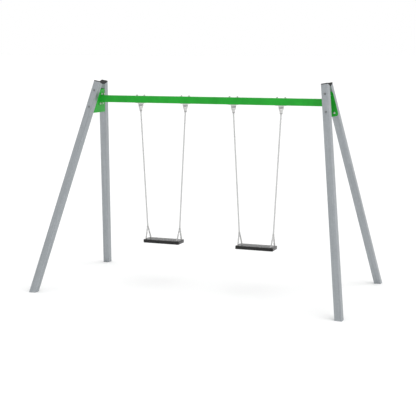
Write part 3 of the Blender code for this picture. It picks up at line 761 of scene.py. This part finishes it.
def add_mount(label, pin):
    """A base plate, the spacer welded under it and the housing that the pin turns in."""
    beam_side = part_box("hanger_mount_" + label)[1].z
    plate_under = beam_side - HANGER_PLATE[2]
    spacer_under = plate_under - HANGER_SPACER[2]
    shift = Vector((pin.x, 0, 0))
    bm = bmesh.new()
    plate = rounded_box(HANGER_PLATE[0] / 2, HANGER_PLATE[1] / 2, PLATE_CORNER)
    prism(bm, [point + shift for point in plate], plate_under, beam_side)
    spacer = rounded_box(HANGER_SPACER[0] / 2, HANGER_SPACER[1] / 2, SPACER_CORNER)
    prism(bm, [point + shift for point in spacer], spacer_under, plate_under + GAP)

    weld_pair(bm, pin.x, HANGER_SPACER[0] / 2, HANGER_SPACER[1] / 2, plate_under)
    add_piece("hanger_block_" + label, finish_mesh("mount", bm), "zinc_steel", "frame",
              "hanger_mount_" + label, soften=0.0005, look="hanger")

    # a round-bottomed block; its bore has one point for each point of the outline
    steps = 24
    flank_steps = 6
    bm = bmesh.new()
    top = spacer_under + GAP
    flank = [top + (pin.z - top) * k / flank_steps for k in range(flank_steps)]
    profile = [(HOUSING_RADIUS, z) for z in flank]
    for k in range(steps + 1):
        a = pi * k / steps
        profile.append((HOUSING_RADIUS * cos(a), pin.z - HOUSING_RADIUS * sin(a)))
    profile += [(-HOUSING_RADIUS, z) for z in reversed(flank)]
    profile += [(HOUSING_RADIUS * (2 * k / steps - 1), top) for k in range(1, steps)]
    middle = Vector((0, pin.z))
    bore = [middle + PIN_BORE * (Vector(point) - middle).normalized() for point in profile]
    ends = [pin.x - HOUSING_LENGTH / 2, pin.x + HOUSING_LENGTH / 2]
    walls = [(profile, ends[0]), (profile, ends[1]), (bore, ends[1]), (bore, ends[0])]
    loft(bm, [[Vector((x, y, z)) for y, z in wall] for wall, x in walls], closed=True)
    weld_pair(bm, pin.x, HOUSING_LENGTH / 2, HOUSING_RADIUS, spacer_under)
    # its darker zinc is painted shade under the spacer
    add_piece("hanger_housing_" + label, finish_mesh("housing", bm), "zinc_steel", "frame",
              "hanger_mount_" + label, soften=0.0005, look="housing")


def add_hanger(side, end_name, end):
    """A mount under the beam, its two bolts, and the stirrup that swings from it."""
    pin = pivots[f"swing_{side}_pivot"] + Vector((end * HANGER_HALF, 0, 0))
    label = f"{side}_{end_name}"
    add_mount(label, pin)
    bm = bmesh.new()
    for x_sign in (-1, 1):
        cheek(bm, x_sign)
    web(bm)
    mesh = finish_mesh("stirrup", bm)
    mesh.transform(Matrix.Translation(pin))
    add_piece("stirrup_bent_" + label, mesh, "zinc_steel", "swing_" + side, "stirrup_" + label,
              soften=0.0006, look="hanger")

    crossways = Matrix.Rotation(pi / 2, 4, "Y")
    mesh = rivet_mesh()
    mesh.transform(Matrix.Translation(pin - Vector((0, 0, RIVET_DROP))) @ crossways)
    # the rivet's dark zinc is painted shade
    add_piece("chain_rivet_" + label, mesh, "zinc_steel", "swing_" + side, "stirrup_" + label,
              look="painted_shade_zinc")

    mesh = pin_bolt.copy()
    mesh.transform(Matrix.Translation(pin - Vector((CHEEK_TOP_X, 0, 0))) @ crossways)
    add_piece("hanger_pin_bolt_" + label, mesh, "zinc_steel", "swing_" + side,
              "hanger_pin_" + label)

    under = beam_under - GAP - HANGER_PLATE[2]
    for place, offset in (("a", -HANGER_BOLT), ("b", HANGER_BOLT)):
        mesh = hanger_bolt.copy()
        mesh.transform(Matrix.Translation((pin.x + offset, 0, under)))
        add_piece(f"hanger_fixing_{label}_{place}", mesh, "zinc_steel", "frame",
                  f"hanger_bolt_{label}_{place}")


# ---- seats -------------------------------------------------------------------------------------
def add_seat(side):
    """A moulded slab: eased edges, a parting line round its middle, and ribs on its top."""
    low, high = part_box("seat_rubber_" + side)
    middle = (low + high) / 2
    half = (high - low) / 2
    bm = bmesh.new()

    def ring(inset, height):
        outline = rounded_box(half.x - inset, half.y - inset, SEAT_CORNER - inset, 8)
        return [point + middle + Vector((0, 0, height)) for point in outline]

    rings = []
    for k in range(SEAT_STEPS + 1):
        a = pi / 2 * k / SEAT_STEPS
        rings.append(ring(SEAT_EDGE * (1 - sin(a)), -half.z + SEAT_EDGE * (1 - cos(a))))
    rings += [ring(inset, height) for inset, height in PARTING]
    for k in range(SEAT_STEPS + 1):
        a = pi / 2 * (1 - k / SEAT_STEPS)
        rings.append(ring(SEAT_EDGE * (1 - sin(a)), half.z - SEAT_EDGE * (1 - cos(a))))
    loft(bm, rings)

    # ribs lengthwise between the lugs, mostly sunk in the top and tapered at their ends
    reach = LUG_X - RIB_SHORT
    taper = 0.001
    for row in range(RIB_ROWS):
        y = (row / (RIB_ROWS - 1) - 0.5) * 2 * (half.y - SEAT_EDGE - RIB_MARGIN)
        path = [middle + Vector((x, y, half.z - RIB * RIB_SUNK))
                for x in (-reach, -reach + taper, reach - taper, reach)]
        sweep(bm, path, RIB, 10, swell=[0.5, 1, 1, 0.5])

    # a moulded collar round each lug
    for x in (-LUG_X, LUG_X):
        for y in (-LUG_Y, LUG_Y):
            path = [point + middle + Vector((x, y, half.z - 0.0004))
                    for point in rounded_box(*COLLAR)]
            sweep(bm, path, RIB, 8, True)
    add_piece("seat_board_" + side, finish_mesh("seat", bm), "rubber", "seat_" + side,
              "seat_rubber_" + side)


# ---- frame hardware ----------------------------------------------------------------------------
def a_frame(x_sign):
    """The matrix of an A-frame: its own X points away from the middle, its Z up its centreline."""
    lean_in = Matrix.Translation((foot.x, 0, 0)) @ Matrix.Rotation(-LEAN, 4, "Y")
    return lean_in if x_sign > 0 else Matrix.Rotation(pi, 4, "Z") @ lean_in


def leg_place(x_sign, way):
    """The matrix of a leg on the +Y (way 1) or -Y side of its A-frame; its Z runs up the leg."""
    foot_place = Matrix.Translation((0, way * -foot.y, 0))
    return a_frame(x_sign) @ foot_place @ Matrix.Rotation(way * SPLAY, 4, "X")


def add_leg(label, place):
    """A square tube cut level with the ground, and the plastic cap in its top."""
    outline = rounded_box(TUBE / 2, TUBE / 2, TUBE_CORNER, 5)
    slope_x, slope_y, rise, base = place[2]
    ground = [Vector((p.x, p.y, -(slope_x * p.x + slope_y * p.y + base) / rise))
              for p in outline]
    top = LEG_LENGTH - CAP_RIM - GAP
    bm = bmesh.new()
    loft(bm, [ground, [Vector((p.x, p.y, top)) for p in outline]])
    mesh = finish_mesh("leg", bm)
    mesh.transform(place)
    upright = place.to_3x3().inverted().to_euler()
    looks["leg_" + label] = galvanised("galvanised_" + label, upright)
    add_piece("leg_tube_" + label, mesh, "galvanised_steel", "frame", "leg_" + label,
              soften=0.0006, look="leg_" + label)

    bm = bmesh.new()
    levels = [(0, LEG_LENGTH - CAP_RIM)]
    steps = 4
    for k in range(steps + 1):
        a = pi / 2 * k / steps
        levels.append((CAP_EASE * (1 - cos(a)), LEG_LENGTH - CAP_EASE * (1 - sin(a))))
    levels += [(inset, LEG_LENGTH - depth) for inset, depth in CAP_DISH]
    rings = []
    for inset, z in levels:
        square = rounded_box(TUBE / 2 - inset, TUBE / 2 - inset, TUBE_CORNER, 5)
        rings.append([Vector((p.x, p.y, z)) for p in square])
    loft(bm, rings)
    mesh = finish_mesh("cap", bm)
    mesh.transform(place)
    add_piece("leg_plug_" + label, mesh, "cap_plastic", "frame", "leg_cap_" + label)


def half_gap(height):
    """Half the clear width between the legs' facing sides, at a height on the A-frame."""
    return -foot.y - height * tan(SPLAY) - TUBE / 2 / cos(SPLAY) - GAP


def add_bracket(side, x_sign):
    """A folded plate: a web on the A-frame's inner side and a flange along each leg."""
    low, high = BRACKET_SPAN
    thick = BRACKET_PLATE / cos(SPLAY)
    inner_bend = BRACKET_BEND - BRACKET_PLATE

    def trim(x):
        """How far a flange's round corners cut in from its top and bottom."""
        past = max(0, x - (TUBE / 2 - BRACKET_CORNER))
        return BRACKET_CORNER - sqrt(BRACKET_CORNER ** 2 - past ** 2)

    # columns of the half towards one leg: the outer skin's x and inset, the inner skin's, the trim
    half = []
    for k in range(BRACKET_STEPS + 1):
        x = TUBE / 2 - BRACKET_CORNER * (1 - cos(pi / 2 * k / BRACKET_STEPS))
        half.append((x, 0, x, thick, trim(x * 0.99999)))
    for k in range(BEND_STEPS + 1):
        a = pi / 2 * k / BEND_STEPS
        centre = -TUBE / 2 + BRACKET_BEND
        half.append((centre - BRACKET_BEND * sin(a), BRACKET_BEND * (1 - cos(a)),
                     centre - inner_bend * sin(a), BRACKET_BEND - inner_bend * cos(a), 0))
    rings = []
    for sign, columns in ((1, half), (-1, list(reversed(half)))):
        for out_x, out_in, in_x, in_in, cut in columns:
            bottom, top = low + cut, high - cut
            rings.append([Vector((out_x, sign * (half_gap(bottom) - out_in), bottom)),
                          Vector((out_x, sign * (half_gap(top) - out_in), top)),
                          Vector((in_x, sign * (half_gap(top) - in_in), top)),
                          Vector((in_x, sign * (half_gap(bottom) - in_in), bottom))])
    bm = bmesh.new()
    loft(bm, rings)
    add_piece("bracket_plate_" + side, finish_mesh("bracket", bm), "green_paint", "frame",
              "bracket_" + side, soften=0.0009, matrix=a_frame(x_sign))


def add_beam():
    """The square crossbeam, with an end plate welded on each leaning end."""
    half = TUBE / 2
    outline = rounded_box(half, half, BEAM_CORNER, 5)
    plate = rounded_box(END_PLATE[2] / 2, END_PLATE[1] / 2, END_PLATE_CORNER, 4)
    bm = bmesh.new()
    ends = []
    for x_sign in (-1, 1):
        upright = a_frame(x_sign)
        face = upright @ Vector((PLATE_INNER, 0, beam_on_frame))
        slant = x_sign * tan(LEAN)
        ends.append([Vector((face.x - slant * (beam_z + p.y - face.z), p.x, beam_z + p.y))
                     for p in outline])
        loft(bm, [[upright @ Vector((x, p.y, beam_on_frame + p.x)) for p in plate]
                  for x in (PLATE_INNER, PLATE_OUTER)])
        weld(bm, ends[-1], BEAM_BEAD, True)
    loft(bm, ends)
    add_piece("crossbeam_welded", finish_mesh("beam", bm), "green_paint", "frame", "crossbeam",
              soften=0.0006)


def add_frame_side(side, x_sign):
    """The legs of an A-frame with their bolts, and the bolts of its end plate."""
    upright = a_frame(x_sign)
    for row, y_sign in (("front", -1), ("rear", 1)):
        way = y_sign * x_sign
        leg = leg_place(x_sign, way)
        add_leg(f"{row}_{side}", leg)
        for place, along in zip(("lower", "upper"), LEG_BOLTS):
            seat = Matrix.Translation((0, way * TUBE / 2, along))
            through = Matrix.Rotation(way * pi / 2, 4, "X")
            add_piece(f"leg_fixing_{row}_{side}_{place}", leg_bolt.copy(), "zinc_steel", "frame",
                      f"leg_bolt_{row}_{side}_{place}", look="leg_bolt",
                      matrix=leg @ (seat @ through))
    for place, z_sign in (("lower", -1), ("upper", 1)):
        for label in ("a", "b"):
            node = f"beam_bolt_{side}_{place}_{label}"
            low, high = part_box(node)
            y_sign = 1 if (low.y + high.y) * x_sign > 0 else -1
            seat = Matrix.Translation((PLATE_INNER, y_sign * END_BOLT_Y,
                                       beam_on_frame + z_sign * END_BOLT_Z))
            mesh = beam_bolt.copy()
            mesh.transform(upright @ seat @ Matrix.Rotation(pi / 2, 4, "Y"))
            add_piece(f"beam_fixing_{side}_{place}_{label}", mesh, "zinc_steel", "frame", node)


leg_bolt = bolt_mesh("leg_bolt", TUBE + GAP + BRACKET_PLATE)
beam_bolt = bolt_mesh("beam_bolt", END_PLATE[0] + GAP + BRACKET_PLATE)
hanger_bolt = bolt_mesh("hanger_bolt", HANGER_PLATE[2] + GAP + TUBE, head=None)
pin_bolt = bolt_mesh("pin_bolt", 2 * CHEEK_TOP_X, PIN_HEAD, PIN_NUT, PIN_TAIL, washers=False)
beam_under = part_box("hanger_mount_left_left")[1].z + GAP
beam_z = beam_under + TUBE / 2
beam_on_frame = (beam_z + TUBE / 2 * sin(LEAN)) / cos(LEAN)

for node in frame["nodes"].values():
    node.data.materials[0] = looks[node.data.materials[0].name]

add_beam()
for side, x_sign in SIDES:
    add_frame_side(side, x_sign)
    add_bracket(side, x_sign)
    add_seat(side)
    for end_name, end in SIDES:
        add_hanger(side, end_name, end)
        hang_chains(side, end_name, end)
